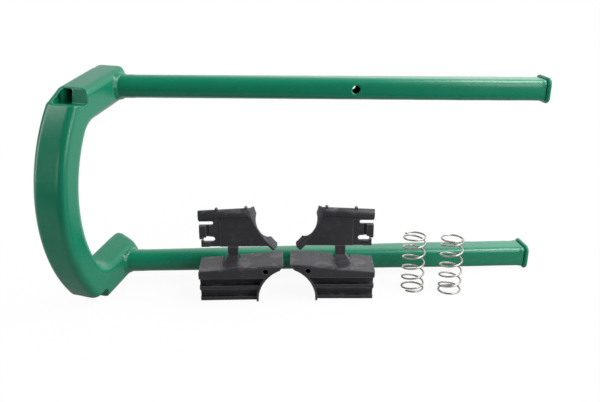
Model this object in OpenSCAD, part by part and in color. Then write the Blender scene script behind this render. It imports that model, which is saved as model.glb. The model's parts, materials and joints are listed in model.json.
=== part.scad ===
// Handle kit for a wheeled conduit bender: one welded tube handle, two moulded
// squeeze latches, left and right hand, and two compression springs, set out on a table.
// Millimetres. X runs along the legs, Y away from the viewer, Z up.
// The origin is on the table, under the middle of the whole layout.

/* [Legs] */
// Diameter of a leg where it is welded to the grip
leg_d = 25.4; // [22:0.2:28]
// Length of a leg from the grip to its end plate
leg_len = 477; // [420:1:560]
// Distance between the axes of the two legs
leg_spacing = 206; // [190:1:220]
// Width of the flattened end of a leg
leg_end_w = 32; // [28:0.5:36]
// Height of the flattened end of a leg
leg_end_h = 24.5; // [20:0.5:26]
// Corner radius of the flattened end
leg_end_r = 5; // [3:0.5:8]
// Share of the length over which a leg goes from round to flattened
leg_change = 0.8; // [0.6:0.05:0.9]
// Distance of the cross hole from the root
cross_hole_x = 257; // [200:1:320]
// Diameter of the cross hole
cross_hole_d = 8.4; // [6:0.2:10]
// Distance of the vent hole from the root
vent_x = 145; // [80:1:180]
// Diameter of the vent hole
vent_d = 4; // [3:0.5:5]

/* [Grip] */
// Width of the grip tube
grip_w = 38.5; // [32:0.5:42]
// Depth of the bowed stretch of the grip tube
bow_depth = 33; // [28:0.5:35]
// Reach of the bow from the plane of the leg roots
bow_reach = 114.5; // [110:0.5:122]
// Radius of the outer side of the bow
bow_r = 174; // [160:1:180]
// Height of the two arms
arm_h = 36; // [32:0.5:38]
// How far an arm runs past the leg axis on the side of the leg
arm_tail = 16; // [15:0.5:20]
// How far an arm runs past the leg axis on its far side
arm_far_tail = 24; // [20:0.5:30]
// Radius of the two outer corners of the grip tube
grip_r = 8; // [6:0.5:9]
// Radius of the two inner corners, which the fingers close round
grip_inner_r = 10; // [8:0.5:13]
// Wall of all tubes
wall = 2; // [1.5:0.1:3]
// Angle between the arms and a square crossing of the legs
grip_turn = 25; // [15:1:30]
// Angle at which the whole grip leans out to the hand at its top
grip_lean = 3.5; // [0:0.5:6]
// Further angle at which both arms fall from the legs to the bow
arm_fall = 8; // [3:0.5:10]

/* [Latches] */
// Length of a latch from its forked end to its tip
latch_len = 94; // [90:0.5:98]
// Depth of the lower block
latch_depth = 43; // [40:0.5:44]
// Height of the block at the forked end
block_end_h = 36; // [34:0.5:38]
// Height of the block at its tip
block_tip_h = 43; // [41:0.5:45]
// Radius of the scoop under the tip
scoop_r = 37.5; // [36:0.5:38]
// Diameter of the pin hole near the tip
pin_hole_d = 6.2; // [4:0.2:7]
// Height of the lower edge of the upper plate
plate_z = 57.5; // [56:0.5:60]
// Thickness of the upper plate
plate_t = 4.5; // [4:0.5:6]
// Diameter of the rail along the upper plate
rail_d = 11.5; // [10:0.5:12]
// Radius of the finger pull
pull_r = 98; // [95:1:101]

/* [Springs] */
// Free length of a spring
spring_len = 66; // [58:1:70]
// Outside diameter of a spring
spring_d = 26.6; // [22:0.2:30]
// Wire diameter
wire_d = 2.1; // [1.6:0.1:2.4]
// Number of turns
turns = 6.75; // [5:0.25:8]

/* [Layout on the table] */
// Middle of the layout, measured from the roots of the legs
layout_middle = [201.64, -28.4];
// Front corner of the left latch at its forked end, measured the same way
left_latch_at = [78.5, -65.3, 0];
// Front corner of the right latch at its forked end
right_latch_at = [273.5, -80.7, 0];
// How far the left latch is turned towards the viewer
left_latch_turn = 4; // [2:0.5:8]
// How far the right latch is turned towards the viewer
right_latch_turn = 6; // [2:0.5:8]
// Centre of the left spring
left_spring_at = [324, -53.8, 0];
// Direction in which the wire of the left spring starts
left_spring_turn = 200; // [0:5:355]
// Centre of the right spring
right_spring_at = [365, -64.5, 0];
// Direction in which the wire of the right spring starts
right_spring_turn = 90; // [0:5:355]

/* [Hidden] */
$fn = 64;

green = "#1E805C";
charcoal = "#3A3A3D";
steel = "#A8A39C";

// Clearance past a face that a cut goes through
past = 1;

// Leg and grip values, with the handle's own middle plane at Z = 0
leg_z = leg_spacing / 2;
lean_ratio = cos(grip_lean) - sin(grip_lean) * tan(arm_fall);
arm_z = leg_z * lean_ratio;
arm_bottom = arm_z - arm_h / 2;
arm_top = arm_z + arm_h / 2;
bow_inner_r = bow_r - bow_depth;
bow_centre = bow_reach - bow_r;
bow_half_angle = asin(arm_top / bow_inner_r) + 2;

// Corner between the bow and an arm: the seam starts inside and leans out as it rises
// to the tip of an open notch, which widens from there to the arm's side and the bow's side
seam_out = 3;
seam_share = 0.59;
notch_back = 4;
notch_share = 0.45;
notch_bow_run = [20, 4];
seam_start = [bow_centre + sqrt(pow(bow_inner_r, 2) - pow(arm_bottom, 2)), arm_bottom];
notch_tip = seam_start + [seam_out, arm_h * seam_share];
notch_arm_run = [-notch_back, arm_h * notch_share];
notch_on_arm = notch_tip + notch_arm_run;
tab_t = 2;
strip_w = 9;

// The far end of an arm is square, with its leg side cut off at a slant in plan and in height
cap_t = 3;
arm_end_slant = [17, 27];

// Both arms turn about a point beside the notch, so the bow hangs lower than the legs
arm_pivot = [notch_tip[0] + seam_out, arm_z];
bow_drop = arm_pivot[0] * tan(arm_fall) / lean_ratio;

// Steps round a corner of a leg section, and the short flats of its round root
leg_corner_steps = 11;
leg_root_flat = 0.1;

// End plates of the legs
plate_over = 2.6;
leg_plate_t = 4.5;
leg_plate_edge = 2;

// Where the notch meets the outer face of an arm at a slope, and the outer face of the bow
function notch_at_arm(slope) =
    let (out = [sin(slope), cos(slope)])
    notch_tip + notch_arm_run * (arm_h / 2 + (arm_pivot - notch_tip) * out) / (notch_arm_run * out);
tip_from_centre = notch_tip - [bow_centre, 0];
tip_along = tip_from_centre * notch_bow_run;
bow_run_sq = notch_bow_run * notch_bow_run;
tip_within_sq = pow(bow_r, 2) - tip_from_centre * tip_from_centre;
notch_at_bow = notch_tip
    + notch_bow_run * (sqrt(pow(tip_along, 2) + bow_run_sq * tip_within_sq) - tip_along) / bow_run_sq;

// Lower outer corner of the grip, which rests on the table
corner = notch_at_arm(-arm_fall);
corner_low = bow_drop + corner[1] * cos(grip_lean) + corner[0] * sin(grip_lean);
corner_reach = corner[0] * cos(grip_lean) - corner[1] * sin(grip_lean);
corner_x = -corner_reach * sin(grip_turn) - (grip_w - grip_r) * cos(grip_turn);

// The handle stands on that corner and on the lower end plate, so it tilts a little
leg_plate_low = leg_z + leg_end_h / 2 + plate_over;
leg_plate_x = leg_len + leg_plate_t - leg_plate_edge;
tilt = atan2(corner_low - leg_plate_low, leg_plate_x - corner_x);
lift = corner_low * cos(tilt) + corner_x * sin(tilt);

// Lower block of a latch
foot_inset = 1.5;
tip_under = [4, 6];
scoop_centre = [latch_len + 9.5, 2];
scoop_wall = 2.3;
top_rail_z = 28;
mid_rib_z = [14, 18.5];
low_rib_z = [0, 4.2];
rib_step = 2.5;
recess_depth = 10;
pin_hole_at = [latch_len * 0.79, 35.8];
top_edge_r = 3;
gate_mark_at = [latch_len * 0.51, 32];
gate_mark_d = 2.2;
gate_mark_deep = 0.8;
core_wall = 4;

// Neck between the block and the upper plate
neck_x = [32, 43.5];
neck_y = [21, 31];
gusset_rise = 9;
gusset_run = 8.5;
neck_notch_x = [25, 45.5];
neck_notch_drop = 6;

// Upper plate
plate_y = 22.5;
plate_len = latch_len - 13;
rail_slope = 2.4;
rail_y = plate_y + 4;
rail_z = 93.7;
rail_len = 60;
nub_x = [20.5, 53.5];
nub_r = 1.8;
nub_w = 6;
fork_x = 16.5;
fork_step_x = 23.6;
fork_step = 1.2;
upper_slot_z = [83, 88];
lower_slot_z = [63.4, 69.4];
tongue_x = 0.8;
prong_x = 2.5;
// Mouth of the lower slot: its depth, its height, and its step up from the slot
slot_mouth = [5.4, 2, 1.5];
barb_x = [0.8, 8.4];
groove_x = [8.4, 12];
barb_over = 1.7;

// Finger pull at the end of the plate: an arc wall with a waist in its middle and two ears
pull_centre = [152.5, 122.8];
pull_wall = 2.5;
pull_from = 13;
pull_to = 45;
pull_middle = (pull_from + pull_to) / 2;
pull_back = plate_y + 13;
pull_waist = 2;
pull_waist_r = 17;
pull_end_r = 29;
pull_end_y = plate_y + 2;
pull_hinge = pull_centre[0] - pull_r * cos(pull_middle);
pull_skew = 25;

function block_top(x) = block_end_h + (block_tip_h - block_end_h) * x / latch_len;
function pull_ray(angle, r) = pull_centre - r * [cos(angle), sin(angle)];

// Everything is placed by its distance from the roots of the legs
module place(at) {
    translate([at[0] - layout_middle[0], at[1] - layout_middle[1], at[2]]) children();
}

// Handle parts are drawn about the middle plane and then stood on the table
module stand() {
    place([0, 0, lift]) rotate([0, tilt, 0]) children();
}

// Grip parts: X reaches out to the hand, Y is 0 on the wall that carries the legs
module on_grip() {
    translate([0, 0, -bow_drop]) rotate([0, 0, 270 - grip_turn]) rotate([0, grip_lean, 0]) children();
}

// The table, which takes the sharp edge off the corner that rests on it
module table() {
    translate([-leg_len, -leg_len, -2 * wall]) cube([2 * leg_len, 2 * leg_len, 2 * wall]);
}

module lower() {
    mirror([0, 0, 1]) children();
}

// An outline in reach and height, carried through the whole width of the grip
module through_grip() {
    translate([0, past, 0]) rotate([90, 0, 0]) linear_extrude(grip_w + 2 * past) children();
}

// Outline of the grip tube across its width, from its inner side up, inset from the outside
module grip_outline(h, inset) {
    w = grip_w - 2 * inset;
    t = h - 2 * inset;
    inner = grip_inner_r - inset;
    outer = grip_r - inset;
    translate([inset, inset]) {
        translate([inner, 0]) square([w - 2 * inner, t]);
        translate([outer, inner]) square([w - 2 * outer, t - inner]);
        translate([0, inner]) square([w, t - inner - outer]);
        for (x = [inner, w - inner])
            translate([x, inner]) circle(inner);
        for (x = [outer, w - outer])
            translate([x, t - outer]) circle(outer);
    }
}

// Straight tube whose outline stands square to its run
module grip_bar(h, inset, length) {
    translate([0, -grip_w, 0]) rotate([90, 0, 90]) linear_extrude(length) grip_outline(h, inset);
}

module on_arm(slope) {
    pivot = [arm_pivot[0], 0, arm_pivot[1]];
    translate(pivot) rotate([0, slope, 0]) translate(-pivot) children();
}

// Arm tube, inset from the outside, run from one reach to another at a slope
module arm_run(slope, inset, from, to) {
    on_arm(slope) translate([from, 0, arm_bottom]) grip_bar(arm_h, inset, to - from);
}

// What is cut off at the far end of an arm, from a depth inside its end faces
module arm_end_cut(slope, depth) {
    size = 3 * grip_w;
    on_arm(slope) {
        translate([depth - arm_far_tail - size, -size / 2 - grip_w / 2, arm_z - size / 2])
            cube(size);
        translate([-arm_tail, 0, arm_z]) rotate([0, -arm_end_slant[0], -arm_end_slant[1]])
            translate([depth - size, -size / 2, -size / 2]) cube(size);
    }
}

module arm_end_outline() {
    polygon([
        [-2 * arm_far_tail, arm_bottom - arm_h],
        seam_start - [0, arm_h],
        seam_start,
        notch_tip,
        notch_on_arm,
        notch_on_arm + notch_arm_run,
        [-2 * arm_far_tail, arm_top + arm_h]
    ]);
}

module arm(slope) {
    color(green) intersection() {
        difference() {
            arm_run(slope, 0, -arm_far_tail, seam_start[0] + grip_r);
            arm_run(slope, wall, -arm_far_tail - past, seam_start[0] + 2 * grip_r);
            arm_end_cut(slope, cap_t);
        }
        through_grip() arm_end_outline();
    }
}

module arm_cap(slope) {
    color(green) intersection() {
        difference() {
            arm_run(slope, 0, -arm_far_tail - past, 0);
            arm_end_cut(slope, 0);
        }
        arm_end_cut(slope, cap_t);
    }
}

// Plate that closes the leg side of the notch, inside the open end of the arm
module corner_tab(slope) {
    half = grip_w / 2;
    color(green) intersection() {
        arm_run(slope, wall, 0, seam_start[0] + grip_r);
        rotate([90, 0, 0]) linear_extrude(half)
            polygon([
                notch_tip,
                notch_on_arm + notch_arm_run,
                notch_on_arm + notch_arm_run - [tab_t, 0],
                notch_tip - [tab_t, 0]
            ]);
    }
}

// Strip of the tube's far wall that bridges the notch from the arm to the bow
module corner_strip(slope) {
    from = notch_at_arm(slope);
    span = notch_at_bow - from;
    color(green) intersection() {
        translate([from[0], 0, from[1]]) rotate([0, atan2(-span[1], span[0]), 0])
            translate([0, 0, -bow_depth]) difference() {
                grip_bar(bow_depth, 0, norm(span));
                translate([-past, 0, 0]) grip_bar(bow_depth, wall, norm(span) + 2 * past);
            }
        translate([0, strip_w - grip_w, 0]) rotate([90, 0, 0]) linear_extrude(strip_w + past)
            polygon([notch_tip, from, notch_at_bow]);
    }
}

module bow_run(inset) {
    translate([bow_centre, 0, 0]) rotate([90, 0, 0])
        rotate([0, 0, -bow_half_angle]) rotate_extrude(angle = 2 * bow_half_angle)
            translate([bow_inner_r, 0]) mirror([1, -1]) grip_outline(bow_depth, inset);
}

// What the seam and the notch take off one end of the bow; the ledge keeps a wall
module bow_end_cut(ledge) {
    far = bow_r;
    through_grip()
        polygon([
            [-far, arm_bottom],
            seam_start,
            notch_tip - [0, ledge],
            notch_tip + 4 * notch_bow_run - [0, ledge],
            [far, far],
            [-far, far]
        ]);
}

module bow_ends(ledge) {
    bow_end_cut(ledge);
    lower() bow_end_cut(ledge);
}

module bow() {
    color(green) difference() {
        bow_run(0);
        bow_ends(0);
        difference() {
            bow_run(wall);
            bow_ends(wall);
        }
    }
}

// Points of a rounded section that stands square to the leg at a distance along it
function leg_section(x, w, h, r) = [
    for (corner = [0:3], step = [0:leg_corner_steps])
        let (
            angle = 90 * (corner + step / leg_corner_steps),
            side = corner == 0 || corner == 3 ? 1 : -1,
            level = corner < 2 ? 1 : -1
        )
        [x, side * (w / 2 - r) + r * cos(angle), level * (h / 2 - r) + r * sin(angle)]
];

// Tube body through the three sections of a leg: root, start of the flat stretch, end
module leg_loft(inset, from, to) {
    w = leg_end_w - 2 * inset;
    h = leg_end_h - 2 * inset;
    d = leg_d - 2 * inset;
    n = 4 * (leg_corner_steps + 1);
    sections = [
        leg_section(from, d, d, d / 2 - leg_root_flat),
        leg_section(leg_len * leg_change, w, h, leg_end_r - inset),
        leg_section(to, w, h, leg_end_r - inset)
    ];
    last = len(sections) - 1;
    sides = [for (k = [0:last - 1], i = [0:n - 1]) each [
        [k * n + i, (k + 1) * n + i, (k + 1) * n + (i + 1) % n],
        [k * n + i, (k + 1) * n + (i + 1) % n, k * n + (i + 1) % n]
    ]];
    ends = [
        [for (i = [0:n - 1]) i],
        [for (i = [n - 1:-1:0]) last * n + i]
    ];
    polyhedron([for (section = sections) each section], concat(sides, ends));
}

// Arm filled in, as its leg meets it, in the leg's own frame. The upper side is 1, the lower side is -1.
module arm_at_leg(side) {
    translate([0, 0, -side * leg_z]) on_grip() mirror([0, 0, side < 0 ? 1 : 0])
        arm_run(side * arm_fall, 0, -2 * leg_d, 2 * leg_d);
}

module leg(side) {
    root = leg_d / 2;
    color(green) difference() {
        leg_loft(0, -root, leg_len);
        leg_loft(wall, -root - past, leg_len + past);
        arm_at_leg(side);
        translate([cross_hole_x, 0, 0]) rotate([90, 0, 0])
            cylinder(d = cross_hole_d, h = leg_end_w * 2, center = true);
        translate([vent_x, 0, -leg_end_h]) cylinder(d = vent_d, h = leg_end_h);
    }
}

// Slice of a rod round the leg, cut parallel to the wall of the arm
module weld_slice(over, from, to) {
    intersection() {
        rotate([0, 90, 0]) cylinder(d = leg_d + 2 * over, h = 3 * leg_d, center = true, $fn = 32);
        rotate([0, 0, -grip_turn]) translate([from, -leg_d, -leg_d])
            cube([to - from, 2 * leg_d, 2 * leg_d]);
    }
}

// Weld bead where the leg runs into the wall of the arm
module leg_weld(side) {
    foot = 2.2;
    toe = 0.3;
    reach = 4;
    edge = 0.4;
    color(green) difference() {
        hull() {
            weld_slice(foot, -edge, edge);
            weld_slice(toe, reach - edge, reach);
        }
        leg_loft(0, -leg_d, leg_len);
        arm_at_leg(side);
    }
}

// End plate of a leg, with all its edges rounded
module leg_plate() {
    r = leg_end_r + plate_over;
    e = leg_plate_edge;
    t = leg_plate_t;
    y = leg_end_w / 2 - leg_end_r;
    z = leg_end_h / 2 - leg_end_r;
    color(green) translate([leg_len, 0, 0]) hull()
        for (sy = [-y, y], sz = [-z, z])
            translate([0, sy, sz]) rotate([0, 90, 0]) rotate_extrude($fn = 32) {
                square([r - e, t]);
                translate([0, e]) square([r, t - 2 * e]);
                for (h = [e, t - e])
                    translate([r - e, h]) circle(e, $fn = 12);
            }
}

// Latch outlines are drawn in length and height and carried from front to back
module slab(front, back) {
    translate([0, back, 0]) rotate([90, 0, 0]) linear_extrude(back - front) children();
}

module band(heights) {
    translate([-past, heights[0]]) square([latch_len + 2 * past, heights[1] - heights[0]]);
}

module block_outline() {
    tip = [latch_len, block_tip_h];
    difference() {
        polygon([
            [foot_inset, 0],
            [latch_len - tip_under[0], 0],
            tip - tip_under,
            tip,
            [0, block_end_h]
        ]);
        translate(scoop_centre) circle(scoop_r);
    }
}

module block_band(heights) {
    intersection() {
        block_outline();
        band(heights);
    }
}

// Curved wall along the scoop, which stands out as a lip at the foot
module scoop_lip() {
    slab(0, latch_depth) intersection() {
        block_outline();
        translate(scoop_centre) circle(scoop_r + scoop_wall);
    }
}

// Ribbed front: a top rail, a middle rib and a low rib, each set further back
module ribbed_block() {
    slab(recess_depth, latch_depth) block_outline();
    slab(0, latch_depth) block_band([top_rail_z, block_tip_h]);
    slab(rib_step, latch_depth) block_band(mid_rib_z);
    slab(2 * rib_step, latch_depth) block_band(low_rib_z);
    scoop_lip();
}

// Two pockets that core the block from behind, with a rib left between them
module back_cores() {
    rib = 3;
    start = foot_inset + core_wall;
    span = scoop_centre[0] - scoop_r - 3 * core_wall;
    pocket = (span - rib) / 2;
    for (x = [start, start + pocket + rib])
        translate([x, recess_depth + core_wall, core_wall])
            cube([pocket, latch_depth, top_rail_z - core_wall]);
}

// Rounds the long front edge at the top of the block
module top_edge_cut() {
    slope = atan((block_tip_h - block_end_h) / latch_len);
    translate([-past, 0, block_end_h - past * tan(slope)]) rotate([0, -slope, 0])
        rotate([90, 0, 90]) linear_extrude(latch_len + 4 * past) difference() {
            translate([-past, -top_edge_r]) square(top_edge_r + past);
            translate([top_edge_r, -top_edge_r]) circle(top_edge_r);
        }
}

module block() {
    notch_w = neck_notch_x[1] - neck_notch_x[0];
    difference() {
        ribbed_block();
        back_cores();
        top_edge_cut();
        translate([neck_notch_x[0], neck_y[1], block_top(neck_notch_x[0]) - neck_notch_drop])
            cube([notch_w, latch_depth, block_tip_h]);
        translate([pin_hole_at[0], -past, pin_hole_at[1]]) rotate([-90, 0, 0])
            cylinder(d = pin_hole_d, h = latch_depth + 2 * past);
        translate([gate_mark_at[0], -past, gate_mark_at[1]]) rotate([-90, 0, 0])
            cylinder(d = gate_mark_d, h = past + gate_mark_deep);
    }
}

// Side of the neck's foot: upright on one side, sloping on the other
module gusset_outline(side, foot, shoulder) {
    polygon([
        [side[0] - gusset_run, foot],
        [side[1], foot],
        [side[1], shoulder],
        [side[0], shoulder]
    ]);
}

// Narrow neck on a foot that slopes to the front and to its outer side
module neck() {
    foot = block_top(neck_x[0]) - 3;
    width = neck_x[1] - neck_x[0];
    shoulder = block_top(neck_x[0]) + gusset_rise;
    slab(neck_y[0], neck_y[1])
        translate([neck_x[0], foot]) square([width, plate_z - foot]);
    intersection() {
        slab(neck_y[0] - gusset_run, neck_y[1]) gusset_outline(neck_x, foot, shoulder);
        rotate([90, 0, 90]) linear_extrude(latch_len) gusset_outline(neck_y, foot, shoulder);
    }
}

module rounded_slot(from, to, heights) {
    h = heights[1] - heights[0];
    translate([from, heights[0]]) square([to - from - h / 2, h]);
    translate([to - h / 2, heights[0] + h / 2]) circle(h / 2);
}

// Plate with a forked end: a tongue between two slots, over a short prong
module plate_outline() {
    difference() {
        translate([tongue_x, plate_z]) square([plate_len, rail_z - plate_z]);
        rounded_slot(-past, fork_x, upper_slot_z);
        rounded_slot(slot_mouth[0], fork_x + slot_mouth[2], lower_slot_z);
        translate([-past, lower_slot_z[0] + slot_mouth[2]])
            square([slot_mouth[0] + 2 * past, slot_mouth[1]]);
        translate([-past, plate_z - past])
            square([prong_x + past, lower_slot_z[0] + slot_mouth[1] - plate_z + past]);
    }
}

// The fork is stepped back in front
module fork_relief() {
    translate([groove_x[1], plate_y - past, plate_z - past])
        cube([fork_step_x - groove_x[1], past + fork_step, upper_slot_z[1] - plate_z + past]);
    translate([groove_x[0], plate_y - past, lower_slot_z[1]])
        cube([groove_x[1] - groove_x[0], past + 2 * fork_step, upper_slot_z[0] - lower_slot_z[1]]);
}

module barb() {
    slab(plate_y - barb_over, plate_y + plate_t)
        translate([barb_x[0], lower_slot_z[1]])
            square([barb_x[1] - barb_x[0], upper_slot_z[0] - lower_slot_z[1]]);
}

// Round rail along the top of the plate, rising slightly to the pull, with two nubs
module rail() {
    translate([0, rail_y, rail_z]) rotate([0, -rail_slope, 0]) {
        rotate([0, 90, 0]) cylinder(d = rail_d, h = rail_len);
        for (x = nub_x)
            translate([x, 0, rail_d / 2]) rotate([90, 0, 0])
                cylinder(r = nub_r, h = nub_w, center = true);
    }
}

// A rod through the middle of the pull, square to its wall
module pull_rod(y, r) {
    translate([pull_centre[0], y, pull_centre[1]]) rotate([0, 90 - pull_middle, 0])
        cylinder(r = r, h = 3 * pull_r, center = true);
}

// The pull is turned about an upright line in the plate, so its ears lead outwards to the back
module pull_turned() {
    translate([pull_hinge, plate_y, 0]) rotate([0, 0, -pull_skew]) translate([-pull_hinge, -plate_y, 0])
        slab(-pull_back, 2 * pull_back) children();
}

module pull_wall_outline() {
    far = 2 * pull_r;
    intersection() {
        difference() {
            translate(pull_centre) circle(pull_r + pull_wall);
            translate(pull_centre) circle(pull_r);
        }
        polygon([
            pull_centre,
            pull_ray(pull_from, far),
            pull_ray(pull_middle, far),
            pull_ray(pull_to, far)
        ]);
    }
}

module finger_pull() {
    difference() {
        intersection() {
            pull_turned() pull_wall_outline();
            slab(plate_y, pull_back) square(2 * latch_len);
            pull_rod(pull_end_y, pull_end_r);
        }
        pull_rod(plate_y + pull_waist + pull_waist_r, pull_waist_r);
    }
}

module upper_plate() {
    difference() {
        union() {
            slab(plate_y, plate_y + plate_t) plate_outline();
            rail();
        }
        fork_relief();
        pull_turned() translate(pull_centre) circle(pull_r + pull_wall / 2);
    }
    barb();
    finger_pull();
}

module latch() {
    color(charcoal) {
        block();
        neck();
        upper_plate();
    }
}

// Spring: closed end turns at a tight pitch, open turns between them
rings_per_turn = 8;
wire_sides = 6;
closed_turns = 1;
closed_pitch = wire_d + 1.8;
open_turns = turns - 2 * closed_turns;
open_pitch = (spring_len - wire_d - 2 * closed_turns * closed_pitch) / open_turns;
spring_r = (spring_d - wire_d) / 2;
last_ring = turns * rings_per_turn;

function turn_of(i) = i / rings_per_turn;
function climb(t) =
    closed_pitch * min(t, closed_turns)
    + open_pitch * max(0, min(t - closed_turns, open_turns))
    + closed_pitch * max(0, t - closed_turns - open_turns);
function wire_centre(i) = [
    spring_r * cos(360 * turn_of(i)),
    spring_r * sin(360 * turn_of(i)),
    wire_d / 2 + climb(turn_of(i))
];
function ring_point(i, j) =
    let (out = wire_d / 2 * cos(360 * j / wire_sides), up = wire_d / 2 * sin(360 * j / wire_sides))
    wire_centre(i) + [out * cos(360 * turn_of(i)), out * sin(360 * turn_of(i)), up];
function ring_index(i, j) = i * wire_sides + j % wire_sides;

spring_points = [for (i = [0:last_ring], j = [0:wire_sides - 1]) ring_point(i, j)];
spring_sides = [for (i = [0:last_ring - 1], j = [0:wire_sides - 1])
    each [
        [ring_index(i, j), ring_index(i + 1, j), ring_index(i + 1, j + 1)],
        [ring_index(i, j), ring_index(i + 1, j + 1), ring_index(i, j + 1)]
    ]];
spring_caps = [for (j = [1:wire_sides - 2])
    each [
        [ring_index(0, 0), ring_index(0, j), ring_index(0, j + 1)],
        [ring_index(last_ring, 0), ring_index(last_ring, j + 1), ring_index(last_ring, j)]
    ]];

// Least gap between two stretches of wire that are half a turn or more apart
spring_gap = min([for (i = [0:last_ring], k = [i + rings_per_turn / 2:1:last_ring])
    norm(wire_centre(i) - wire_centre(k))]) - wire_d;
echo(spring_gap = spring_gap);

module spring() {
    color(steel) polyhedron(spring_points, concat(spring_sides, spring_caps), convexity = 10);
}

// Nodes
module grip_bow() { stand() on_grip() bow(); }
module upper_arm() { stand() on_grip() arm(arm_fall); }
module lower_arm() {
    difference() {
        stand() on_grip() lower() arm(-arm_fall);
        table();
    }
}
module upper_arm_cap() { stand() on_grip() arm_cap(arm_fall); }
module lower_arm_cap() { stand() on_grip() lower() arm_cap(-arm_fall); }
module upper_corner_tab() { stand() on_grip() corner_tab(arm_fall); }
module lower_corner_tab() { stand() on_grip() lower() corner_tab(-arm_fall); }
module upper_corner_strip() { stand() on_grip() corner_strip(arm_fall); }
module lower_corner_strip() {
    difference() {
        stand() on_grip() lower() corner_strip(-arm_fall);
        table();
    }
}
module upper_leg() { stand() translate([0, 0, leg_z]) leg(1); }
module lower_leg() { stand() translate([0, 0, -leg_z]) leg(-1); }
module upper_leg_weld() { stand() translate([0, 0, leg_z]) leg_weld(1); }
module lower_leg_weld() { stand() translate([0, 0, -leg_z]) leg_weld(-1); }
module upper_leg_plate() { stand() translate([0, 0, leg_z]) leg_plate(); }
module lower_leg_plate() { stand() translate([0, 0, -leg_z]) leg_plate(); }
module left_latch() { place(left_latch_at) rotate([0, 0, -left_latch_turn]) latch(); }
module right_latch() {
    place(right_latch_at) rotate([0, 0, -right_latch_turn]) mirror([1, 0, 0]) latch();
}
module left_spring() { place(left_spring_at) rotate([0, 0, left_spring_turn]) spring(); }
module right_spring() { place(right_spring_at) rotate([0, 0, right_spring_turn]) spring(); }

grip_bow();
upper_arm();
lower_arm();
upper_arm_cap();
lower_arm_cap();
upper_corner_tab();
lower_corner_tab();
upper_corner_strip();
lower_corner_strip();
upper_leg();
lower_leg();
upper_leg_weld();
lower_leg_weld();
upper_leg_plate();
lower_leg_plate();
left_latch();
right_latch();
left_spring();
right_spring();
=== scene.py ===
import json
import math

import bmesh
import bpy
from mathutils import Matrix, Vector


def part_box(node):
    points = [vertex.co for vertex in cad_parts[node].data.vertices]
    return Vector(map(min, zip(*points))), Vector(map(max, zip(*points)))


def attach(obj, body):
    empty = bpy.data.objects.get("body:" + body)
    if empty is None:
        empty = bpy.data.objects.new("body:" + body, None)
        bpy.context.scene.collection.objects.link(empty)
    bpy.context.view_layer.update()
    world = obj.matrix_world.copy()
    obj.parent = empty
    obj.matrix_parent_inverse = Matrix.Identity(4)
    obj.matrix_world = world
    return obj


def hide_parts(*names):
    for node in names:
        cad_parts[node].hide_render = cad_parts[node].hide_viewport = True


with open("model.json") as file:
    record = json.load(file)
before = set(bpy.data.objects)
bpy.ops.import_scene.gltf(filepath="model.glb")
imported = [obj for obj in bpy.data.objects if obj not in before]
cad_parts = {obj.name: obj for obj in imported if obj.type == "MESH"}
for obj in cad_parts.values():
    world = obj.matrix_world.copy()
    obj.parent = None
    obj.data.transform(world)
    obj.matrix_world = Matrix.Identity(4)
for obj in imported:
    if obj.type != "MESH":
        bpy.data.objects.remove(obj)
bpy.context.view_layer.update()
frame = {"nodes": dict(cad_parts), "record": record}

bl_info = {
    "name": "Handle kit looks",
    "version": (1, 0, 0),
    "blender": (4, 5, 0),
    "location": "3D View > Sidebar > Handle kit",
    "description": "Paint, plastic, spring wire and studio for a bender's handle kit",
    "category": "Object",
}

MM = 0.001
SIDES = ("left", "right")
LEGS = ("upper_leg", "lower_leg")

# Nodes that the coat runs over as one skin: the grip tube, its closed ends and corners, the weld beads
GRIP_NODES = (
    "grip_bow", "upper_arm", "lower_arm", "upper_arm_cap", "lower_arm_cap",
    "upper_corner_tab", "lower_corner_tab", "upper_corner_strip", "lower_corner_strip",
    "upper_leg_weld", "lower_leg_weld",
)

# The grip's own frame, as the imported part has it: X reaches to the hand, Y is 0 on the wall that
# carries the legs, and Z runs up the grip. A turn of 270 degrees would point X straight at the viewer,
# and the grip stops 25 degrees short of that.
GRIP_AT = (-201.85 * MM, 28.4 * MM, 121.04 * MM)
HANDLE_TILT = math.radians(1.4)
GRIP_TURN = math.radians(270 - 25)
GRIP_LEAN = math.radians(3.5)
GRIP_FRAME = (
    Matrix.Translation(GRIP_AT)
    @ Matrix.Rotation(HANDLE_TILT, 4, "Y")
    @ Matrix.Rotation(GRIP_TURN, 4, "Z")
    @ Matrix.Rotation(GRIP_LEAN, 4, "Y"))
GRIP_WIDTH = 38.5 * MM
BOW_CENTRE = Vector((-59.5, 0)) * MM
BOW_INNER_R = 141 * MM

# Both arms slope the same way, each about a point beside its notch: reach and height of that point
ARM_PIVOT = Vector((59.8, 101.9)) * MM
ARM_HALF = 18 * MM
ARM_FALL = math.radians(8)

# Edges of the end plates that bend by more than this stay crisp
PLATE_CREASE = math.radians(32)

# Soft boxes: where each stands and where it looks in metres, its width and height, its power in watts
LAMPS = (
    ("overhead_box", (0.7, -0.25, 1.1), (0.6, -0.25, 0), (1.0, 0.45), 14),
    ("right_box", (0.7, -0.7, 0.45), (0.2, 0, 0.12), (0.5, 0.5), 3.2),
    ("left_strip", (-1.0, -0.1, 0.5), (-0.2, 0, 0.1), (0.25, 1.0), 3.5),
    ("front_fill", (-0.9, -0.7, 0.3), (-0.25, 0, 0.12), (0.35, 0.35), 0.7),
)


def linear(hex_colour):
    """Linear RGB of an sRGB hex colour."""
    values = [int(hex_colour[i:i + 2], 16) / 255 for i in (0, 2, 4)]
    return [v / 12.92 if v <= 0.04045 else ((v + 0.055) / 1.055) ** 2.4 for v in values]


def rgba(colour, share=1.0):
    """A colour, made lighter or darker by a share, with full cover."""
    return (*[min(1.0, v * share) for v in colour], 1.0)


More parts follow.
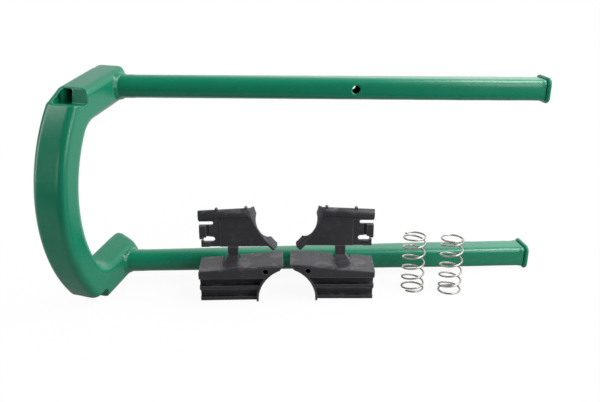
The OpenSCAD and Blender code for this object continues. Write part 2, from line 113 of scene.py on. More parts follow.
class HandleSettings(bpy.types.PropertyGroup):
    """Colours and sizes of the coated handle"""
    paint: bpy.props.FloatVectorProperty(
        name="Paint", description="Colour of the powder coat",
        subtype="COLOR", size=3, min=0, max=1, default=linear("0E8563"))
    # This colour is also a painted highlight: the grip's convex edges are painted with it
    thin_paint_and_highlight: bpy.props.FloatVectorProperty(
        name="Thin paint", description="Colour of the coat where it pulls thin over an edge",
        subtype="COLOR", size=3, min=0, max=1, default=linear("5FB394"))
    grid: bpy.props.FloatProperty(
        name="Skin grid", description="Mesh size of the skin that the coat makes of the welded tubes",
        subtype="DISTANCE", unit="LENGTH", default=1.1 * MM, min=0.6 * MM, max=3 * MM)
    flow: bpy.props.IntProperty(
        name="Flow", description="Passes that round the grip's edges as the melted powder does",
        default=6, min=0, max=40)
    arm_flow: bpy.props.IntProperty(
        name="Arm end flow", description="Further passes that round the closed ends of the arms",
        default=30, min=0, max=80)
    leg_flow: bpy.props.IntProperty(
        name="Leg flow", description="Passes that round the pressed edges of the legs",
        default=36, min=0, max=80)
    rim_flow: bpy.props.IntProperty(
        name="Rim flow", description="Passes that round the rims of the legs' cross holes",
        default=2, min=0, max=10)
    bend: bpy.props.FloatProperty(
        name="Bend radius", description="Radius inside the two corners of the grip",
        subtype="DISTANCE", unit="LENGTH", default=26 * MM, min=5 * MM, max=40 * MM)
    section_r: bpy.props.FloatProperty(
        name="Section radius", description="Radius of the tube's edges on its inner side",
        subtype="DISTANCE", unit="LENGTH", default=10 * MM, min=2 * MM, max=15 * MM)
    ripple: bpy.props.FloatProperty(
        name="Bead ripple", description="Height of the ripples that a welder leaves in a bead",
        subtype="DISTANCE", unit="LENGTH", default=0.12 * MM, min=0, max=1 * MM)
    peel: bpy.props.FloatProperty(
        name="Orange peel", description="Width of a wave in the baked coat",
        subtype="DISTANCE", unit="LENGTH", default=2.6 * MM, min=0.5 * MM, max=10 * MM)
    peel_depth: bpy.props.FloatProperty(
        name="Peel depth", description="Height of a wave in the baked coat",
        subtype="DISTANCE", unit="LENGTH", default=0.012 * MM, min=0, max=0.2 * MM)


class LatchSettings(bpy.types.PropertyGroup):
    """Colours and sizes of the moulded latches"""
    plastic: bpy.props.FloatVectorProperty(
        name="Plastic", description="Colour of the moulded plastic",
        subtype="COLOR", size=3, min=0, max=1, default=linear("303035"))
    # This grey also paints highlights along edges and light on upward faces, besides rubbing and dust
    scuff_dust_and_light: bpy.props.FloatVectorProperty(
        name="Scuff", description="Colour of rubbed and dusty plastic",
        subtype="COLOR", size=3, min=0, max=1, default=linear("7F7D82"))
    edge: bpy.props.FloatProperty(
        name="Edge radius", description="Roundness of the moulded edges",
        subtype="DISTANCE", unit="LENGTH", default=0.55 * MM, min=0, max=2 * MM)
    grain: bpy.props.FloatProperty(
        name="Texture grain", description="Width of a grain of the mould's spark texture",
        subtype="DISTANCE", unit="LENGTH", default=0.7 * MM, min=0.1 * MM, max=3 * MM)


class SpringSettings(bpy.types.PropertyGroup):
    """Sizes and colour of the coiled springs"""
    wire: bpy.props.FloatProperty(
        name="Wire", description="Diameter of the spring wire",
        subtype="DISTANCE", unit="LENGTH", default=2.1 * MM, min=1 * MM, max=4 * MM)
    across: bpy.props.FloatProperty(
        name="Coil", description="Outer diameter of the coil",
        subtype="DISTANCE", unit="LENGTH", default=26.6 * MM, min=10 * MM, max=60 * MM)
    length: bpy.props.FloatProperty(
        name="Length", description="Free length of the spring",
        subtype="DISTANCE", unit="LENGTH", default=66 * MM, min=20 * MM, max=120 * MM)
    turns: bpy.props.FloatProperty(
        name="Turns", description="Turns of wire from end to end", default=6.75, min=3, max=12)
    end_pitch: bpy.props.FloatProperty(
        name="End pitch", description="Rise of the first and the last turn",
        subtype="DISTANCE", unit="LENGTH", default=2.4 * MM, min=2 * MM, max=8 * MM)
    left_start: bpy.props.FloatProperty(
        name="Left start", description="Direction in which the wire of the left spring starts",
        subtype="ANGLE", unit="ROTATION", default=math.radians(220))
    right_start: bpy.props.FloatProperty(
        name="Right start", description="Direction in which the wire of the right spring starts",
        subtype="ANGLE", unit="ROTATION", default=math.radians(55))
    steel: bpy.props.FloatVectorProperty(
        name="Steel", description="Colour of the drawn wire",
        subtype="COLOR", size=3, min=0, max=1, default=linear("C2BDB7"))


class StageSettings(bpy.types.PropertyGroup):
    """Camera and backdrop"""
    camera_at: bpy.props.FloatVectorProperty(
        name="Camera", description="Where the camera stands",
        subtype="TRANSLATION", unit="LENGTH", size=3, default=(-86.5 * MM, -757.9 * MM, 364.2 * MM))
    pitch: bpy.props.FloatProperty(
        name="Pitch", description="How far the camera looks down",
        subtype="ANGLE", unit="ROTATION", default=math.radians(18.91))
    yaw: bpy.props.FloatProperty(
        name="Yaw", description="How far the camera looks to the right",
        subtype="ANGLE", unit="ROTATION", default=math.radians(6.04))
    lens: bpy.props.FloatProperty(
        name="Lens", description="Focal length on a 36 mm wide sensor", default=42.54, min=10, max=200)
    backdrop: bpy.props.FloatVectorProperty(
        name="Backdrop", description="Colour of the table and the backdrop",
        subtype="COLOR", size=3, min=0, max=1, default=linear("FFFFFF"))


def add_node(tree, kind, inputs=None, **settings):
    """Adds a node. Each input holds a value, or the output of another node that feeds it."""
    node = tree.nodes.new(kind)
    for key, value in settings.items():
        setattr(node, key, value)
    for key, value in (inputs or {}).items():
        if isinstance(value, bpy.types.NodeSocket):
            tree.links.new(value, node.inputs[key])
        else:
            node.inputs[key].default_value = value
    return node


def new_material(name):
    """An empty node material, its tree and its surface input."""
    material = bpy.data.materials.new(name)
    material.use_nodes = True
    tree = material.node_tree
    tree.nodes.clear()
    output = tree.nodes.new("ShaderNodeOutputMaterial")
    return material, tree, output.inputs["Surface"]


def powder_coat(settings, name, edged):
    """Polyester powder coat, sprayed dry on steel and baked until it flows."""
    # The melt settles to a skin with a broad orange peel, so highlights are long, soft and a little
    # uneven. It pulls thin over edges, which are painted paler: partly for the thinner coat, partly as
    # a painted highlight on the rounded edges. Dust under it leaves a few dull nibs.
    material, tree, surface = new_material(name)
    where = add_node(tree, "ShaderNodeTexCoord").outputs["Object"]
    cloud = add_node(tree, "ShaderNodeTexNoise", {
        "Vector": where, "Scale": 1 / (38 * MM), "Detail": 2.0})
    coat = add_node(tree, "ShaderNodeMixRGB", {
        "Fac": cloud.outputs["Fac"],
        "Color1": rgba(settings.paint, 0.94), "Color2": rgba(settings.paint, 1.06)})
    if edged:
        # Convex edges are painted paler: partly a thinner coat, partly a painted highlight
        bent = add_node(tree, "ShaderNodeNewGeometry").outputs["Pointiness"]
        thin_and_highlit = add_node(tree, "ShaderNodeMapRange", {
            "Value": bent, "From Min": 0.54, "From Max": 0.66, "To Min": 0.0, "To Max": 0.3})
        coat = add_node(tree, "ShaderNodeMixRGB", {
            "Fac": thin_and_highlit.outputs[0], "Color1": coat.outputs[0], "Color2": rgba(settings.thin_paint_and_highlight)})
    # Nibs of 0.4 mm are drawn 1.1 mm wide, or they wouldn't show
    specks = add_node(tree, "ShaderNodeTexVoronoi", {"Vector": where, "Scale": 1 / (14 * MM)})
    nib = add_node(tree, "ShaderNodeMapRange", {
        "Value": specks.outputs["Distance"],
        "From Min": 0.03, "From Max": 0.045, "To Min": 1.0, "To Max": 0.0})
    satin = add_node(tree, "ShaderNodeMapRange", {
        "Value": cloud.outputs["Fac"],
        "From Min": 0.3, "From Max": 0.7, "To Min": 0.24, "To Max": 0.29})
    rough = add_node(tree, "ShaderNodeMath", {
        0: nib.outputs[0], 1: 0.1, 2: satin.outputs[0]}, operation="MULTIPLY_ADD")
    peel = add_node(tree, "ShaderNodeTexNoise", {
        "Vector": where, "Scale": 1 / settings.peel, "Detail": 2.0})
    waves = add_node(tree, "ShaderNodeBump", {
        "Height": peel.outputs["Fac"], "Strength": 1.0, "Distance": settings.peel_depth})
    shader = add_node(tree, "ShaderNodeBsdfPrincipled", {
        "Base Color": coat.outputs[0], "Roughness": rough.outputs[0],
        "Normal": waves.outputs[0], "IOR": 1.5})
    tree.links.new(shader.outputs["BSDF"], surface)
    return material


def moulded_nylon(settings):
    """Glass-filled nylon, injection moulded in a spark-eroded tool."""
    # The spark texture makes it matt, and glass near the skin leaves cloudy grey flow marks that catch
    # dust on upward faces; these faces are also painted lighter as painted light from above. Edges that
    # rub against other parts turn grey, and every edge is also painted grey as a painted highlight.
    material, tree, surface = new_material("glass_filled_nylon_moulded")
    where = add_node(tree, "ShaderNodeTexCoord").outputs["Object"]
    face = add_node(tree, "ShaderNodeNewGeometry").outputs["Normal"]
    flow = add_node(tree, "ShaderNodeTexNoise", {
        "Vector": where, "Scale": 1 / (16 * MM), "Detail": 5.0, "Roughness": 0.6, "Distortion": 0.8})
    marks = add_node(tree, "ShaderNodeMapRange", {
        "Value": flow.outputs["Fac"], "From Min": 0.5, "From Max": 0.64, "To Min": 0.0, "To Max": 1.0})
    upward = add_node(tree, "ShaderNodeSeparateXYZ", {"Vector": face})
    # Upward faces are painted lighter: settled dust and painted light from above
    dust_and_top_light_share = add_node(tree, "ShaderNodeMapRange", {
        "Value": upward.outputs["Z"],
        "From Min": 0.2, "From Max": 0.95, "To Min": 0.08, "To Max": 0.48})
    dusty_and_lit_from_above = add_node(tree, "ShaderNodeMath", {
        0: marks.outputs[0], 1: dust_and_top_light_share.outputs[0]}, operation="MULTIPLY")
    # Every edge is painted grey: rubbed wear and a painted highlight
    rounded = add_node(tree, "ShaderNodeBevel", {"Radius": 1.8 * MM}, samples=6)
    along = add_node(tree, "ShaderNodeVectorMath", {
        0: rounded.outputs[0], 1: face}, operation="DOT_PRODUCT")
    rubbed_and_highlit = add_node(tree, "ShaderNodeMapRange", {
        "Value": along.outputs["Value"],
        "From Min": 0.98, "From Max": 0.75, "To Min": 0.0, "To Max": 0.6})
    # The stronger of two marks: dust with painted top light, and wear with a painted edge highlight
    worn_and_lit = add_node(tree, "ShaderNodeMath", {
        0: dusty_and_lit_from_above.outputs[0], 1: rubbed_and_highlit.outputs[0]}, operation="MAXIMUM")
    colour = add_node(tree, "ShaderNodeMixRGB", {
        "Fac": worn_and_lit.outputs[0], "Color1": rgba(settings.plastic), "Color2": rgba(settings.scuff_dust_and_light)})
    rough = add_node(tree, "ShaderNodeMapRange", {
        "Value": flow.outputs["Fac"],
        "From Min": 0.3, "From Max": 0.7, "To Min": 0.42, "To Max": 0.58})
    grain = add_node(tree, "ShaderNodeTexNoise", {
        "Vector": where, "Scale": 1 / settings.grain, "Detail": 3.0})
    bump = add_node(tree, "ShaderNodeBump", {
        "Height": grain.outputs["Fac"], "Strength": 1.0, "Distance": 0.05 * MM})
    shader = add_node(tree, "ShaderNodeBsdfPrincipled", {
        "Base Color": colour.outputs[0], "Roughness": rough.outputs[0],
        "Normal": bump.outputs[0], "IOR": 1.53})
    tree.links.new(shader.outputs["BSDF"], surface)
    return material


def spring_wire(settings):
    """Spring steel, drawn to wire and coiled cold."""
    # The die leaves fine lines along the wire, and the drawing soap leaves warm grey clouds. The UV
    # runs in millimetres, along the wire and round it.
    material, tree, surface = new_material("spring_steel_drawn_wire")
    along = add_node(tree, "ShaderNodeTexCoord").outputs["UV"]
    # Die lines lie a few hundredths of a millimetre apart. They are drawn 0.5 mm apart, or they
    # wouldn't show.
    line_length, line_gap = 30, 0.5
    drawn = add_node(tree, "ShaderNodeMapping", {
        "Vector": along, "Scale": (1 / line_length, 1 / line_gap, 1.0)})
    lines = add_node(tree, "ShaderNodeTexNoise", {
        "Vector": drawn.outputs[0], "Scale": 1.0, "Detail": 3.0})
    smear_length, smear_width = 9, 4
    smeared = add_node(tree, "ShaderNodeMapping", {
        "Vector": along, "Scale": (1 / smear_length, 1 / smear_width, 1.0)})
    cloud = add_node(tree, "ShaderNodeTexNoise", {
        "Vector": smeared.outputs[0], "Scale": 1.0, "Detail": 4.0})
    colour = add_node(tree, "ShaderNodeMixRGB", {
        "Fac": cloud.outputs["Fac"],
        "Color1": rgba(settings.steel, 0.7), "Color2": rgba(settings.steel, 1.15)})
    rough = add_node(tree, "ShaderNodeMapRange", {
        "Value": cloud.outputs["Fac"],
        "From Min": 0.3, "From Max": 0.7, "To Min": 0.34, "To Max": 0.46})
    bump = add_node(tree, "ShaderNodeBump", {
        "Height": lines.outputs["Fac"], "Strength": 0.6, "Distance": 0.03 * MM})
    shader = add_node(tree, "ShaderNodeBsdfPrincipled", {
        "Base Color": colour.outputs[0], "Roughness": rough.outputs[0],
        "Normal": bump.outputs[0], "Metallic": 1.0})
    tree.links.new(shader.outputs["BSDF"], surface)
    return material


def sheared_steel():
    """Spring steel where the wire was sheared off."""
    # A torn face, dark and dull
    material, tree, surface = new_material("spring_steel_sheared")
    where = add_node(tree, "ShaderNodeTexCoord").outputs["Object"]
    torn = add_node(tree, "ShaderNodeTexNoise", {
        "Vector": where, "Scale": 1 / (0.6 * MM), "Detail": 3.0})
    colour = add_node(tree, "ShaderNodeMixRGB", {
        "Fac": torn.outputs["Fac"], "Color1": rgba(linear("4A4643")), "Color2": rgba(linear("7C7670"))})
    bump = add_node(tree, "ShaderNodeBump", {
        "Height": torn.outputs["Fac"], "Strength": 1.0, "Distance": 0.1 * MM})
    shader = add_node(tree, "ShaderNodeBsdfPrincipled", {
        "Base Color": colour.outputs[0], "Normal": bump.outputs[0], "Metallic": 1.0, "Roughness": 0.55})
    tree.links.new(shader.outputs["BSDF"], surface)
    return material


def white_table(settings):
    """A matt white table top that keeps a soft shadow and gives little light back to the object."""
    material, tree, surface = new_material("white_table_matt")
    path = add_node(tree, "ShaderNodeLightPath")
    where = add_node(tree, "ShaderNodeTexCoord").outputs["Object"]
    tone = add_node(tree, "ShaderNodeMixRGB", {
        "Fac": path.outputs["Is Camera Ray"],
        "Color1": rgba(settings.backdrop, 0.35), "Color2": rgba(settings.backdrop, 0.92)})
    matt = add_node(tree, "ShaderNodeBsdfDiffuse", {"Color": tone.outputs[0]})
    glow = add_node(tree, "ShaderNodeEmission", {"Color": rgba(settings.backdrop), "Strength": 1.0})
    # To the eye the shadow fades into plain white away from the object
    away = add_node(tree, "ShaderNodeVectorMath", {0: where}, operation="LENGTH")
    white = add_node(tree, "ShaderNodeMapRange", {
        "Value": away.outputs["Value"],
        "From Min": 0.15, "From Max": 0.42, "To Min": 0.93, "To Max": 1.0})
    # In reflections it is white behind the object, and dim in front as the room is
    depth = add_node(tree, "ShaderNodeSeparateXYZ", {"Vector": where})
    behind = add_node(tree, "ShaderNodeMapRange", {
        "Value": depth.outputs["Y"],
        "From Min": -0.05, "From Max": 0.15, "To Min": 0.12, "To Max": 1.0})
    mirrored = add_node(tree, "ShaderNodeMath", {
        0: path.outputs["Is Glossy Ray"], 1: path.outputs["Is Transmission Ray"]}, operation="MAXIMUM")
    reflected = add_node(tree, "ShaderNodeMath", {
        0: mirrored.outputs[0], 1: behind.outputs[0]}, operation="MULTIPLY")
    share = add_node(tree, "ShaderNodeMath", {
        0: path.outputs["Is Camera Ray"], 1: white.outputs[0], 2: reflected.outputs[0]},
        operation="MULTIPLY_ADD")
    mix = add_node(tree, "ShaderNodeMixShader", {
        0: share.outputs[0], 1: matt.outputs[0], 2: glow.outputs[0]})
    tree.links.new(mix.outputs[0], surface)
    return material


def packed_shape(*nodes):
    """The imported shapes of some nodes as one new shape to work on, with shared corners joined."""
    same_place = 0.005 * MM
    shape = bmesh.new()
    for node in nodes:
        source = frame["nodes"][node].data
        corners = [shape.verts.new(corner.co) for corner in source.vertices]
        for polygon in source.polygons:
            shape.faces.new([corners[i] for i in polygon.vertices])
    bmesh.ops.remove_doubles(shape, verts=shape.verts, dist=same_place)
    return shape


def add_piece(name, shape, body, materials, replaced):
    """Adds a piece to the object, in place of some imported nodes."""
    mesh = bpy.data.meshes.new(name)
    shape.to_mesh(mesh)
    shape.free()
    for material in materials:
        mesh.materials.append(material)
    piece = bpy.data.objects.new(name, mesh)
    bpy.context.scene.collection.objects.link(piece)
    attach(piece, body)
    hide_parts(*replaced)


def shade_round(shape, limit=math.pi):
    """Shades a shape as smooth, apart from edges that bend by more than a limit."""
    for face in shape.faces:
        face.smooth = True
    for edge in shape.edges:
        edge.smooth = edge.calc_face_angle(0.0) < limit


def applied(shape, *modifiers):
    """The shape after some modifiers, each a kind and its settings."""
    mesh = bpy.data.meshes.new("in_work")
    shape.to_mesh(mesh)
    shape.free()
    work = bpy.data.objects.new("in_work", mesh)
    bpy.context.scene.collection.objects.link(work)
    for kind, settings in modifiers:
        modifier = work.modifiers.new(kind.lower(), kind)
        for key, value in settings.items():
            setattr(modifier, key, value)
    seen = work.evaluated_get(bpy.context.evaluated_depsgraph_get())
    result = bmesh.new()
    result.from_mesh(seen.to_mesh())
    seen.to_mesh_clear()
    bpy.data.objects.remove(work)
    bpy.data.meshes.remove(mesh)
    return result


def on_arm(point, slope, side):
    """A place beside an arm (reach, width, height over the arm's middle line) in the table's frame."""
    reach, width, height = point
    x = ARM_PIVOT.x + reach * math.cos(slope) + height * math.sin(slope)
    z = ARM_PIVOT.y - reach * math.sin(slope) + height * math.cos(slope)
    return GRIP_FRAME @ Vector((x, width, side * z))


def add_loft(shape, sections):
    """A closed solid through sections with the same count of points."""
    rings = [[shape.verts.new(point) for point in section] for section in sections]
    count = len(rings[0])
    for low, high in zip(rings, rings[1:]):
        for i in range(count):
            j = (i + 1) % count
            shape.faces.new((low[i], low[j], high[j], high[i]))
    shape.faces.new(rings[0])
    shape.faces.new(rings[-1])


def bend_profile(settings):
    """Outline of the inner side of the tube: width across it, and depth into it."""
    r = settings.section_r
    depth = 20 * MM
    steps = 8
    turns = [math.pi / 2 * i / steps for i in range(steps + 1)]
    near = [(-r + r * math.cos(a), r - r * math.sin(a)) for a in turns]
    far = [(-GRIP_WIDTH - y, d) for y, d in reversed(near)]
    return [(0, depth), *near, *far, (-GRIP_WIDTH, depth)]


def bend_arc(r, slope):
    """Middle of the bend that touches an arm and the bow, and the angles at which it leaves them."""
    down = Vector((-math.sin(slope), -math.cos(slope)))
    back = Vector((-math.cos(slope), math.sin(slope)))
    start = ARM_PIVOT + down * (ARM_HALF + r) - BOW_CENTRE
    along = start.dot(back)
    to_bow = -along - math.sqrt(along ** 2 - start.length_squared + (BOW_INNER_R - r) ** 2)
    middle = BOW_CENTRE + start + back * to_bow
    at_arm = math.atan2(-down.y, -down.x)
    at_bow = math.atan2(*(middle - BOW_CENTRE).yx)
    return middle, at_arm, at_bow


def add_bend(shape, settings, slope, side):
    """Rounds the inside of one corner of the grip, where the bow runs into an arm."""
    steps = 16
    middle, first, last = bend_arc(settings.bend, slope)
    sections = []
    for i in range(steps + 1):
        angle = first + (last - first) * i / steps
        out = Vector((math.cos(angle), math.sin(angle)))
        section = []
        for width, depth in bend_profile(settings):
            reach, height = middle + out * (settings.bend + depth)
            section.append(GRIP_FRAME @ Vector((reach, width, side * height)))
        sections.append(section)
    add_loft(shape, sections)


def add_curled_wall(shape, slope, side):
    """The far wall of an arm, curled in where the notch was cut."""
    # Reach along the arm and width across it, in millimetres
    outline = ((-6, -34), (-6, -33), (-9, -30), (-12, -27.5), (-18, -26.5), (-18, -34))
    half = ARM_HALF - 3 * MM
    add_loft(shape, [
        [on_arm((reach * MM, width * MM, height), slope, side) for reach, width in outline]
        for height in (-half, half)])


def leg_root(name):
    """Where the axis of a leg leaves the grip, and the direction in which it runs."""
    low, high = (Vector(corner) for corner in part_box(f"{name}_weld"))
    far_low, far_high = (Vector(corner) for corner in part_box(f"{name}_plate"))
    root = (low + high) / 2
    return root, ((far_low + far_high) / 2 - root).normalized()


def add_root_fill(shape, leg):
    """Weld metal that closes the root of a leg, where the tube stands out past the end of its arm."""
    fill_r = 12.4 * MM
    steps = 32
    # Along the leg, from within the arm's wall to within the tube
    depths = (-1.5 * MM, 3 * MM)
    root, run = leg_root(leg)
    wall = GRIP_FRAME.to_3x3() @ Vector((0, 1, 0))
    root += run * (GRIP_FRAME.translation - root).dot(wall) / run.dot(wall)
    across = run.cross(Vector((0, 0, 1))).normalized()
    upward = across.cross(run)
    sections = []
    for depth in depths:
        section = []
        for i in range(steps):
            angle = 2 * math.pi * i / steps
            out = fill_r * (math.cos(angle) * across + math.sin(angle) * upward)
            to_wall = -out.dot(wall) / run.dot(wall)
            section.append(root + out + run * (to_wall + depth))
        sections.append(section)
    add_loft(shape, sections)


def round_off(shape, corners, passes):
    """Evens out part of a shape."""
    for _ in range(passes):
        bmesh.ops.smooth_vert(
            shape, verts=corners, factor=0.5, use_axis_x=True, use_axis_y=True, use_axis_z=True)


def round_arm_ends(shape, passes):
    """Rounds the closed ends of the arms further, clear of the weld beads."""
    bead_clear = 17.5 * MM
    margin = 1 * MM
    for level in ("upper", "lower"):
        low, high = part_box(f"{level}_arm_cap")
        root, run = leg_root(f"{level}_leg")
        near = []
        for corner in shape.verts:
            offset = corner.co - root
            inside = all(
                low[i] < corner.co[i] + margin and corner.co[i] - margin < high[i] for i in range(3))
            if inside and (offset - run * offset.dot(run)).length > bead_clear:
                near.append(corner)
        round_off(shape, near, passes)


def round_leg(shape, leg, settings):
    """Rounds the pressed edges of a leg, clear of its weld, its cross hole and its end plate."""
    hole_clear = 6.5 * MM
    end_clear = 4 * MM
    weld_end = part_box(f"{leg}_weld")[1][0] + end_clear
    plate_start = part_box(f"{leg}_plate")[0][0] - end_clear
    hole = next(m["pos_m"] for m in frame["record"]["mounts"] if m["name"] == f"{leg}_hole")
    rim, pressed = [], []
    for corner in shape.verts:
        x, _, z = corner.co
        if math.hypot(x - hole[0], z - hole[2]) < hole_clear:
            rim.append(corner)
        elif weld_end < x < plate_start:
            pressed.append(corner)
    round_off(shape, rim, settings.rim_flow)
    round_off(shape, pressed, settings.leg_flow)


def ripple_beads(shape, height):
    """Raises the ripples of the weld beads round the legs."""
    pitch = 4 * MM
    bead_r = 14.3 * MM
    bead_half = 2.6 * MM
    reach = 9 * MM
    for leg in LEGS:
        root, run = leg_root(leg)
        for corner in shape.verts:
            offset = corner.co - root
            if abs(offset.dot(run)) > reach:
                continue
            out = offset - run * offset.dot(run)
            off_bead = abs(out.length - bead_r) / bead_half
            if off_bead >= 1:
                continue
            angle = math.atan2(out.z, out.y)
            wave = math.cos(angle * 2 * math.pi * bead_r / pitch)
            corner.co += out.normalized() * height * wave * (1 - off_bead)


class HANDLE_KIT_OT_handle(bpy.types.Operator):
    """Makes the welded handle and gives it its powder coat"""
    bl_idname = "handle_kit.handle"
    bl_label = "Coat the handle"

    def execute(self, context):
        settings = context.scene.handle_kit_handle
        grip_coat = powder_coat(settings, "powder_coat_baked_on_welded_tube", True)
        leg_coat = powder_coat(settings, "powder_coat_baked_on_smooth_tube", False)
        self.coat_grip(settings, grip_coat)
        for leg in LEGS:
            self.coat_leg(settings, leg, leg_coat)
            self.coat_plate(f"{leg}_plate", leg_coat)
        return {"FINISHED"}

    def remesh(self, settings):
        """The modifier that makes one even skin of a shape, as a kind and its settings."""
        return "REMESH", {"mode": "VOXEL", "voxel_size": settings.grid}

    def coat_grip(self, settings, coat):
        """The grip under one skin of coat, with its bends, curled walls and weld beads."""
        grip = packed_shape(*GRIP_NODES)
        # The lower arm is built upside down, so that its slope counts the other way
        for slope, side in ((ARM_FALL, 1), (-ARM_FALL, -1)):
            add_bend(grip, settings, slope, side)
            add_curled_wall(grip, slope, side)
        for leg in LEGS:
            add_root_fill(grip, leg)
        melt = ("SMOOTH", {"factor": 0.5, "iterations": settings.flow})
        skin = applied(grip, self.remesh(settings), melt)
        round_arm_ends(skin, settings.arm_flow)
        ripple_beads(skin, settings.ripple)
        shade_round(skin)
        add_piece("grip_skin", skin, "handle", [coat], GRIP_NODES)

    def coat_leg(self, settings, leg, coat):
        """A leg with the soft edges of a pressed tube."""
        tube = applied(packed_shape(leg), self.remesh(settings))
        round_leg(tube, leg, settings)
        shade_round(tube)
        add_piece(f"{leg}_coated", tube, "handle", [coat], [leg])

    def coat_plate(self, node, coat):
        """An end plate of a leg."""
        plate = packed_shape(node)
        shade_round(plate, PLATE_CREASE)
        add_piece(f"{node}_coated", plate, "handle", [coat], [node])


class HANDLE_KIT_OT_latches(bpy.types.Operator):
    """Gives both latches their moulded plastic and soft edges"""
    bl_idname = "handle_kit.latches"
    bl_label = "Finish the latches"

    def execute(self, context):
        settings = context.scene.handle_kit_latch
        nylon = moulded_nylon(settings)
        for side in SIDES:
            self.finish_latch(frame["nodes"][f"{side}_latch"], nylon, settings.edge)
        return {"FINISHED"}

    def finish_latch(self, latch, nylon, radius):
        """Plastic and soft edges for one packed latch, on top of its own mesh."""
        latch.data.materials.clear()
        latch.data.materials.append(nylon)
        joined = latch.modifiers.new("Joined faces", "WELD")
        joined.merge_threshold = 0.01 * MM
        flats = latch.modifiers.new("Whole flats", "DECIMATE")
        flats.decimate_type = "DISSOLVE"
        flats.angle_limit = math.radians(0.5)
        soft = latch.modifiers.new("Soft edges", "BEVEL")
        soft.width = radius
        soft.segments = 3
        soft.limit_method = "ANGLE"
        soft.angle_limit = math.radians(35)
        soft.harden_normals = True
        soft.use_clamp_overlap = True


class HANDLE_KIT_OT_springs(bpy.types.Operator):
    """Coils both springs from round wire"""
    bl_idname = "handle_kit.springs"
    bl_label = "Coil the springs"

    def execute(self, context):
        settings = context.scene.handle_kit_spring
        steels = [spring_wire(settings), sheared_steel()]
        starts = {"left": settings.left_start, "right": settings.right_start}
        for side in SIDES:
            shape = self.coil(settings, self.middle(side), starts[side])
            node = f"{side}_spring"
            add_piece(f"{node}_coil", shape, node, steels, [node])
        return {"FINISHED"}

    def middle(self, side):
        """The foot of a spring's axis, from the opening that runs through the spring."""
        openings = frame["record"]["physics"]["openings"]
        low, high = next(o["box_m"] for o in openings if o["name"] == f"{side}_spring_bore")
        return Vector(((low[0] + high[0]) / 2, (low[1] + high[1]) / 2, 0))

    def climb(self, settings, turn):
        """Height of the wire after some turns: end turns that start level, open ones between."""
        # The higher the power, the longer an end turn lies level before it rises
        power = 3
        rise = settings.length - settings.wire
        pitch = (rise - 2 * settings.end_pitch) / (settings.turns - 2.0)
        left = settings.turns - turn
        if turn < 1:
            return settings.end_pitch * turn ** power
        if left < 1:
            return rise - settings.end_pitch * left ** power
        return settings.end_pitch + pitch * (turn - 1)

    def wire_point(self, settings, start, turn):
        """Middle of the wire after some turns, with changes of pitch spread over part of a turn."""
        shifts = (-1, -0.5, 0, 0.5, 1)
        widest = 0.15
        spread = min(widest, turn, settings.turns - turn)
        rise = sum(self.climb(settings, turn + spread * shift) for shift in shifts) / len(shifts)
        angle = start + 2 * math.pi * turn
        radius = (settings.across - settings.wire) / 2
        return Vector((radius * math.cos(angle), radius * math.sin(angle), settings.wire / 2 + rise))

    def girth(self, radius, centre, run):
        """Steps from the middle of the wire to the points round it."""
        sides = 20
        out = Vector((centre.x, centre.y, 0)).normalized()
        up = run.cross(out).normalized()
        turns = [2 * math.pi * j / sides for j in range(sides)]
        return [radius * (math.cos(a) * out + math.sin(a) * up) for a in turns]

    def coil(self, settings, middle, start):
        """Round wire swept along the coil, with its length and its girth in millimetres as UV."""
        per_turn = 36
        count = round(settings.turns * per_turn)
        turns = [settings.turns * i / count for i in range(count + 1)]
        centres = [self.wire_point(settings, start, turn) for turn in turns]
        shape = bmesh.new()
        rings = []
        for i, centre in enumerate(centres):
            run = (centres[min(i + 1, count)] - centres[max(i - 1, 0)]).normalized()
            steps = self.girth(settings.wire / 2, centre, run)
            rings.append([shape.verts.new(middle + centre + step) for step in steps])
        self.skin_wire(shape, rings, settings)
        for end in (rings[0], list(reversed(rings[-1]))):
            cap = shape.faces.new(end)
            cap.material_index = 1
            for edge in cap.edges:
                edge.smooth = False
        bmesh.ops.recalc_face_normals(shape, faces=shape.faces)
        return shape

    def skin_wire(self, shape, rings, settings):
        """Faces between the rings of the wire, with their UV."""
        sides = len(rings[0])
        step = math.pi * (settings.across - settings.wire) * settings.turns / (len(rings) - 1) / MM
        width = math.pi * settings.wire / sides / MM
        uv = shape.loops.layers.uv.new("along_wire")
        for i in range(len(rings) - 1):
            for j in range(sides):
                k = (j + 1) % sides
                face = shape.faces.new((rings[i][j], rings[i][k], rings[i + 1][k], rings[i + 1][j]))
                face.smooth = True
                places = ((i, j), (i, j + 1), (i + 1, j + 1), (i + 1, j))
                for loop, (u, v) in zip(face.loops, places):
                    loop[uv].uv = (u * step, v * width)


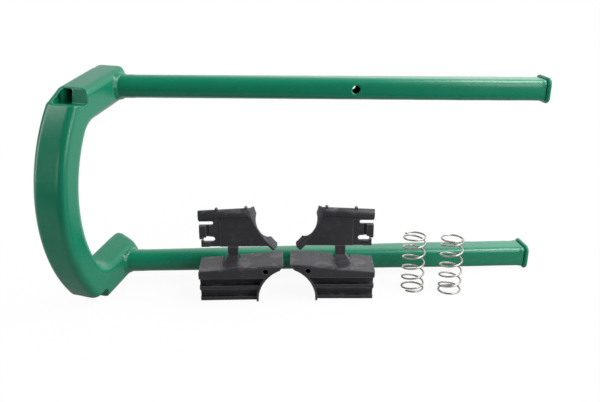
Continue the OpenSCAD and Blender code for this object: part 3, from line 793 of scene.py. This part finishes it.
class HANDLE_KIT_OT_stage(bpy.types.Operator):
    """Sets up the table, the light and the camera"""
    bl_idname = "handle_kit.stage"
    bl_label = "Set the stage"

    def execute(self, context):
        settings = context.scene.handle_kit_stage
        self.add_table(settings)
        self.add_world(context.scene, settings)
        for lamp in LAMPS:
            self.add_lamp(*lamp)
        self.add_camera(context.scene, settings)
        context.scene.view_settings.view_transform = "Standard"
        return {"FINISHED"}

    def add_table(self, settings):
        """A flat table top that ends close in front of the object."""
        side, back, front = 2.5, 3.0, -0.26
        shape = bmesh.new()
        corners = ((-side, front), (side, front), (side, back), (-side, back))
        shape.faces.new([shape.verts.new((x, y, 0)) for x, y in corners])
        mesh = bpy.data.meshes.new("table")
        shape.to_mesh(mesh)
        shape.free()
        mesh.materials.append(white_table(settings))
        table = bpy.data.objects.new("table", mesh)
        bpy.context.scene.collection.objects.link(table)

    def add_world(self, scene, settings):
        """A room, bright behind and to the right, dim in front, and plain white to the eye."""
        bright_side = (0.66, 0.75, 0.0)
        world = bpy.data.worlds.new("studio")
        world.use_nodes = True
        tree = world.node_tree
        tree.nodes.clear()
        output = tree.nodes.new("ShaderNodeOutputWorld")
        path = add_node(tree, "ShaderNodeLightPath")
        direction = add_node(tree, "ShaderNodeTexCoord").outputs["Generated"]
        aim = add_node(tree, "ShaderNodeVectorMath", {
            0: direction, 1: bright_side}, operation="DOT_PRODUCT")
        level = add_node(tree, "ShaderNodeMapRange", {
            "Value": aim.outputs["Value"],
            "From Min": -0.1, "From Max": 0.95, "To Min": 0.1, "To Max": 1.4})
        room = add_node(tree, "ShaderNodeBackground", {
            "Color": rgba(settings.backdrop), "Strength": level.outputs[0]})
        white = add_node(tree, "ShaderNodeBackground", {
            "Color": rgba(settings.backdrop), "Strength": 1.0})
        mix = add_node(tree, "ShaderNodeMixShader", {
            0: path.outputs["Is Camera Ray"], 1: room.outputs[0], 2: white.outputs[0]})
        tree.links.new(mix.outputs[0], output.inputs["Surface"])
        scene.world = world

    def add_lamp(self, name, at, aim, size, power):
        """A soft box that looks at a point."""
        data = bpy.data.lights.new(name, "AREA")
        data.shape = "RECTANGLE"
        data.size, data.size_y = size
        data.energy = power
        lamp = bpy.data.objects.new(name, data)
        lamp.location = at
        lamp.rotation_euler = (Vector(aim) - Vector(at)).to_track_quat("-Z", "Y").to_euler()
        bpy.context.scene.collection.objects.link(lamp)

    def add_camera(self, scene, settings):
        """The camera, where the photograph was taken from."""
        data = bpy.data.cameras.new("photo_camera")
        data.sensor_width = 36
        data.lens = settings.lens
        camera = bpy.data.objects.new("photo_camera", data)
        camera.location = settings.camera_at
        camera.rotation_euler = (math.pi / 2 - settings.pitch, 0, -settings.yaw)
        scene.collection.objects.link(camera)
        scene.camera = camera


STEPS = (HANDLE_KIT_OT_handle, HANDLE_KIT_OT_latches, HANDLE_KIT_OT_springs, HANDLE_KIT_OT_stage)
GROUPS = {
    "handle_kit_handle": HandleSettings,
    "handle_kit_latch": LatchSettings,
    "handle_kit_spring": SpringSettings,
    "handle_kit_stage": StageSettings,
}


class HANDLE_KIT_PT_panel(bpy.types.Panel):
    """Lists the steps and their settings"""
    bl_idname = "HANDLE_KIT_PT_panel"
    bl_label = "Handle kit"
    bl_space_type = "VIEW_3D"
    bl_region_type = "UI"
    bl_category = "Handle kit"

    def draw(self, context):
        for step in STEPS:
            self.layout.operator(step.bl_idname)
        for name in GROUPS:
            group = getattr(context.scene, name)
            box = self.layout.box()
            for key in group.bl_rna.properties.keys():
                if key not in ("rna_type", "name"):
                    box.prop(group, key)


def register():
    for cls in (*GROUPS.values(), *STEPS, HANDLE_KIT_PT_panel):
        bpy.utils.register_class(cls)
    for name, cls in GROUPS.items():
        setattr(bpy.types.Scene, name, bpy.props.PointerProperty(type=cls))


def unregister():
    for name in GROUPS:
        delattr(bpy.types.Scene, name)
    for cls in (HANDLE_KIT_PT_panel, *reversed(STEPS), *reversed(list(GROUPS.values()))):
        bpy.utils.unregister_class(cls)


def main():
    register()
    for step in STEPS:
        name = step.bl_idname.split(".")[1]
        getattr(bpy.ops.handle_kit, name)()


if __name__ == "__main__":
    main()
